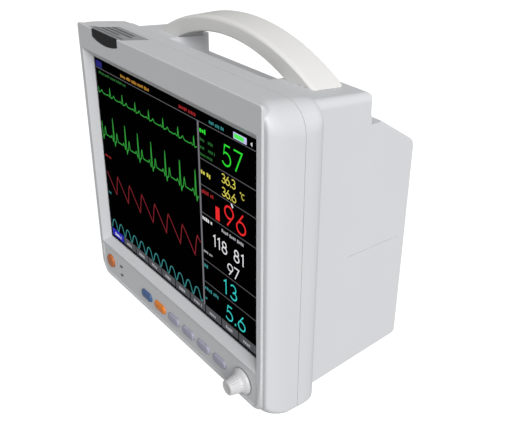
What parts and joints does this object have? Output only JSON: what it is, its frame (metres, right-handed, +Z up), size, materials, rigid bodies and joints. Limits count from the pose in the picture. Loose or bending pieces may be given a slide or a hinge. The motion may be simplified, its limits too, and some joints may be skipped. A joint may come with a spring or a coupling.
{
  "type": "patient monitor",
  "caption": "Bedside patient monitor with a flat colour screen in a raised rim, a key strip with a turn-and-push knob, an arched carrying handle and a stepped rear case.",
  "frame": {"origin": "on the table, under the middle of the monitor's box", "axes": "+X to the right seen from the front, +Y to the rear, +Z up; the screen faces -Y"},
  "size_m": [0.292, 0.173, 0.2892],
  "materials": {
    "case_plastic": "light grey-white moulded ABS with a fine satin texture",
    "grey_trim": "mid grey moulded plastic",
    "smoked_lens": "smoked black acrylic",
    "screen_glass": "black display face, anti-glare",
    "orange_key": "orange moulded key",
    "blue_key": "blue moulded key",
    "pale_key": "pale blue-grey moulded key",
    "light_pipe": "dark translucent light pipe",
    "steel": "plated steel",
    "brass": "turned brass",
    "circuit_board": "green circuit board with fitted components",
    "black_plastic": "black moulded plastic",
    "rubber": "black rubber",
    "battery_wrap": "dark blue battery wrap",
    "blue_socket": "blue connector shell",
    "green_socket": "green connector shell"
  },
  "bodies": {
    "monitor": {"front_bezel": "case_plastic", "rear_housing": "case_plastic", "carry_handle": "case_plastic", "battery_door": "case_plastic", "side_socket_panel": "grey_trim", "rear_socket_plate": "grey_trim", "gas_module": "grey_trim", "temperature_socket_1": "grey_trim", "temperature_socket_2": "grey_trim", "gas_sample_socket": "grey_trim", "alarm_lens": "smoked_lens", "lcd_glass": "screen_glass", "power_light_pipe": "light_pipe", "battery_light_pipe": "light_pipe", "lcd_frame": "steel", "backlight_unit": "steel", "inner_chassis": "steel", "cuff_pump": "steel", "encoder_body": "steel", "cuff_hose_fitting": "steel", "network_port": "steel", "video_port": "steel", "mounting_plate": "steel", "housing_screw_1": "steel", "housing_screw_2": "steel", "housing_screw_3": "steel", "housing_screw_4": "steel", "battery_door_screw_1": "steel", "battery_door_screw_2": "steel", "cuff_valve": "brass", "earth_post": "brass", "display_driver_board": "circuit_board", "key_board": "circuit_board", "alarm_lamp_board": "circuit_board", "main_board": "circuit_board", "measuring_board": "circuit_board", "power_supply": "circuit_board", "speaker": "black_plastic", "mains_inlet": "black_plastic", "foot_front_left": "rubber", "foot_front_right": "rubber", "foot_rear_left": "rubber", "foot_rear_right": "rubber", "cuff_hose": "rubber", "battery_pack": "battery_wrap", "spo2_socket": "blue_socket", "ecg_socket": "green_socket"},
    "power_button": {"power_button": "orange_key"},
    "function_key_1": {"function_key_1": "blue_key"},
    "function_key_2": {"function_key_2": "orange_key"},
    "function_key_3": {"function_key_3": "pale_key"},
    "function_key_4": {"function_key_4": "pale_key"},
    "function_key_5": {"function_key_5": "pale_key"},
    "function_key_6": {"function_key_6": "pale_key"},
    "encoder_plunger": {"encoder_plunger": "black_plastic"},
    "encoder_knob": {"encoder_knob": "case_plastic", "encoder_shaft": "steel"}
  },
  "joints": [
    {"name": "power_button_press", "type": "slide", "parent": "monitor", "child": "power_button", "axis": [0, 1, 0], "range_m": [0, 0.0011], "stiffness_N_per_m": 500},
    {"name": "function_key_1_press", "type": "slide", "parent": "monitor", "child": "function_key_1", "axis": [0, 1, 0], "range_m": [0, 0.001], "stiffness_N_per_m": 500},
    {"name": "function_key_2_press", "type": "slide", "parent": "monitor", "child": "function_key_2", "axis": [0, 1, 0], "range_m": [0, 0.001], "stiffness_N_per_m": 500},
    {"name": "function_key_3_press", "type": "slide", "parent": "monitor", "child": "function_key_3", "axis": [0, 1, 0], "range_m": [0, 0.001], "stiffness_N_per_m": 500},
    {"name": "function_key_4_press", "type": "slide", "parent": "monitor", "child": "function_key_4", "axis": [0, 1, 0], "range_m": [0, 0.001], "stiffness_N_per_m": 500},
    {"name": "function_key_5_press", "type": "slide", "parent": "monitor", "child": "function_key_5", "axis": [0, 1, 0], "range_m": [0, 0.001], "stiffness_N_per_m": 500},
    {"name": "function_key_6_press", "type": "slide", "parent": "monitor", "child": "function_key_6", "axis": [0, 1, 0], "range_m": [0, 0.001], "stiffness_N_per_m": 500},
    {"name": "encoder_push", "type": "slide", "parent": "monitor", "child": "encoder_plunger", "axis": [0, 1, 0], "range_m": [0, 0.0005], "stiffness_N_per_m": 800},
    {"name": "encoder_turn", "type": "hinge", "parent": "encoder_plunger", "child": "encoder_knob", "pos_m": [0.1127, -0.0706, 0.0251], "axis": [0, 1, 0], "continuous": true}
  ]
}
